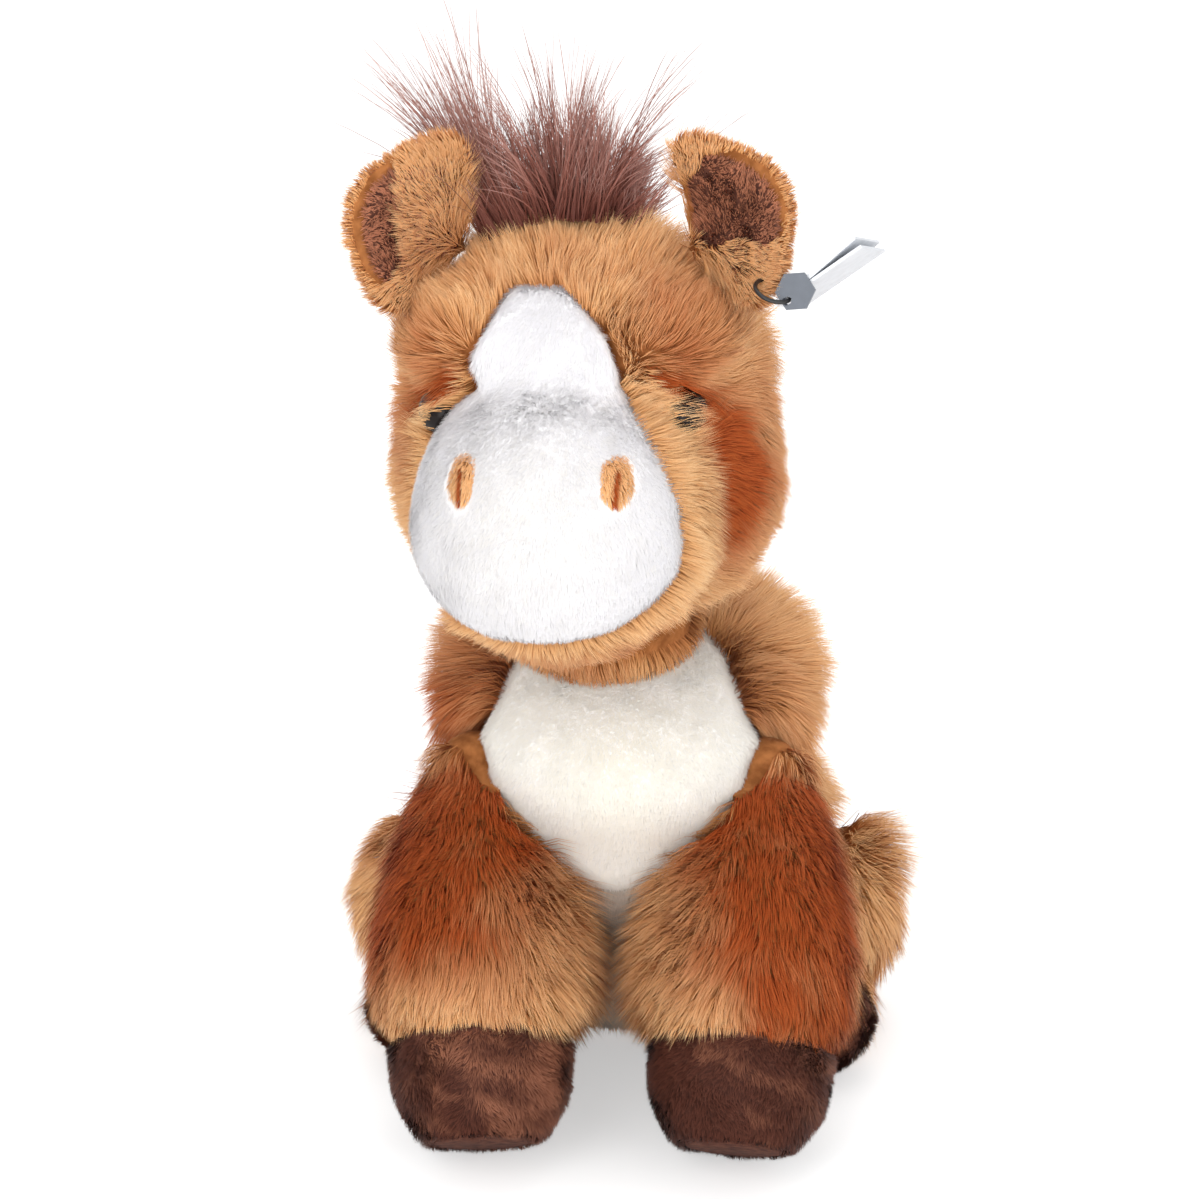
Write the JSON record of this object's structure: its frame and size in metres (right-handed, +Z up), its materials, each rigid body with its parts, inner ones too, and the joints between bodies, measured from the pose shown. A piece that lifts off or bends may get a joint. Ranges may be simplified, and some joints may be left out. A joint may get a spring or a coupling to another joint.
{
  "type": "stuffed animal",
  "caption": "Plush horse sitting upright with its front legs stretched forward, long mane and tail, white blaze and bib, folded ears and a swing tag on one ear.",
  "frame": {"origin": "centre of the flat seat under the torso, where the toy sits on the floor", "axes": "+Z up, -Y the way the horse faces, +X towards the horse's own left side"},
  "size_m": [0.1384, 0.1838, 0.2555],
  "materials": {
    "plush_tan": "matte",
    "plush_white": "matte",
    "plush_grey": "matte",
    "plush_brown": "matte",
    "mane_fibre": "satin",
    "eye_plastic": "gloss",
    "washer_plastic": "satin",
    "filling": "matte",
    "pellet_bag": "matte",
    "tag_plastic": "satin",
    "tag_card": "satin",
    "tag_seal": "satin"
  },
  "bodies": {
    "torso": {"torso_cover": "plush_tan", "chest_bib": "plush_white", "belly_panel": "plush_grey", "torso_stuffing": "filling", "seat_pellet_pouch": "pellet_bag"},
    "neck": {"neck_cover": "plush_tan", "neck_stuffing": "filling"},
    "head": {"head_cover": "plush_tan", "muzzle_blaze_panel": "plush_white", "head_stuffing": "filling", "nostril_patch_left": "plush_tan", "nostril_patch_right": "plush_tan", "eye_left": "eye_plastic", "eye_right": "eye_plastic", "eye_washer_left": "washer_plastic", "eye_washer_right": "washer_plastic", "crown_mane": "mane_fibre", "nape_mane": "mane_fibre"},
    "ear_left": {"ear_outer_left": "plush_tan", "ear_lining_left": "plush_brown"},
    "front_leg_left": {"front_leg_cover_left": "plush_tan", "front_leg_stuffing_left": "filling", "front_hoof_left": "plush_brown", "front_sole_left": "plush_brown"},
    "hind_leg_left": {"hind_leg_cover_left": "plush_tan", "hind_leg_stuffing_left": "filling", "hind_hoof_left": "plush_brown", "hind_sole_left": "plush_brown"},
    "ear_right": {"ear_outer_right": "plush_tan", "ear_lining_right": "plush_brown"},
    "front_leg_right": {"front_leg_cover_right": "plush_tan", "front_leg_stuffing_right": "filling", "front_hoof_right": "plush_brown", "front_sole_right": "plush_brown"},
    "hind_leg_right": {"hind_leg_cover_right": "plush_tan", "hind_leg_stuffing_right": "filling", "hind_hoof_right": "plush_brown", "hind_sole_right": "plush_brown"},
    "swing_tag": {"tag_loop": "tag_plastic", "tag_card": "tag_card", "tag_seal": "tag_seal"},
    "tail": {"tail_dock": "plush_tan", "tail_hair": "mane_fibre"}
  },
  "joints": [
    {"name": "neck_turn", "type": "hinge", "parent": "torso", "child": "neck", "pos_m": [-0.004, -0.017, 0.108], "axis": [0, 0, 1], "range_deg": [-12, 12], "stiffness_Nm_per_rad": 1},
    {"name": "head_nod", "type": "hinge", "parent": "neck", "child": "head", "pos_m": [-0.004, -0.017, 0.114], "axis": [0.9912, -0.1217, 0.0523], "range_deg": [-8, 12], "stiffness_Nm_per_rad": 1.5},
    {"name": "ear_fold_left", "type": "hinge", "parent": "head", "child": "ear_left", "pos_m": [0.0148, -0.0302, 0.2062], "axis": [-0.4645, 0.3721, 0.8036], "range_deg": [-15, 15], "stiffness_Nm_per_rad": 0.05},
    {"name": "ear_fold_right", "type": "hinge", "parent": "head", "child": "ear_right", "pos_m": [-0.0349, -0.0241, 0.2036], "axis": [-0.3654, -0.3867, -0.8467], "range_deg": [-15, 15], "stiffness_Nm_per_rad": 0.05},
    {"name": "tag_swing", "type": "hinge", "parent": "ear_left", "child": "swing_tag", "pos_m": [0.0352, -0.0581, 0.2065], "axis": [0.2591, -0.261, 0.9299], "range_deg": [-8, 6], "stiffness_Nm_per_rad": 0.01},
    {"name": "front_leg_lift_left", "type": "hinge", "parent": "torso", "child": "front_leg_left", "pos_m": [0.034, -0.036, 0.08], "axis": [-1, 0, 0], "range_deg": [0, 40], "stiffness_Nm_per_rad": 0.6},
    {"name": "front_leg_lift_right", "type": "hinge", "parent": "torso", "child": "front_leg_right", "pos_m": [-0.034, -0.036, 0.08], "axis": [-1, 0, 0], "range_deg": [0, 40], "stiffness_Nm_per_rad": 0.6},
    {"name": "hind_leg_splay_left", "type": "hinge", "parent": "torso", "child": "hind_leg_left", "pos_m": [0.042, 0.001, 0.029], "axis": [0, 0, 1], "range_deg": [0, 30], "stiffness_Nm_per_rad": 0.4},
    {"name": "hind_leg_splay_right", "type": "hinge", "parent": "torso", "child": "hind_leg_right", "pos_m": [-0.042, 0.001, 0.029], "axis": [0, 0, -1], "range_deg": [0, 30], "stiffness_Nm_per_rad": 0.4},
    {"name": "tail_swing", "type": "hinge", "parent": "torso", "child": "tail", "pos_m": [0, 0.0434, 0.0326], "axis": [0, 0, -1], "range_deg": [-5, 70], "stiffness_Nm_per_rad": 0.1}
  ]
}
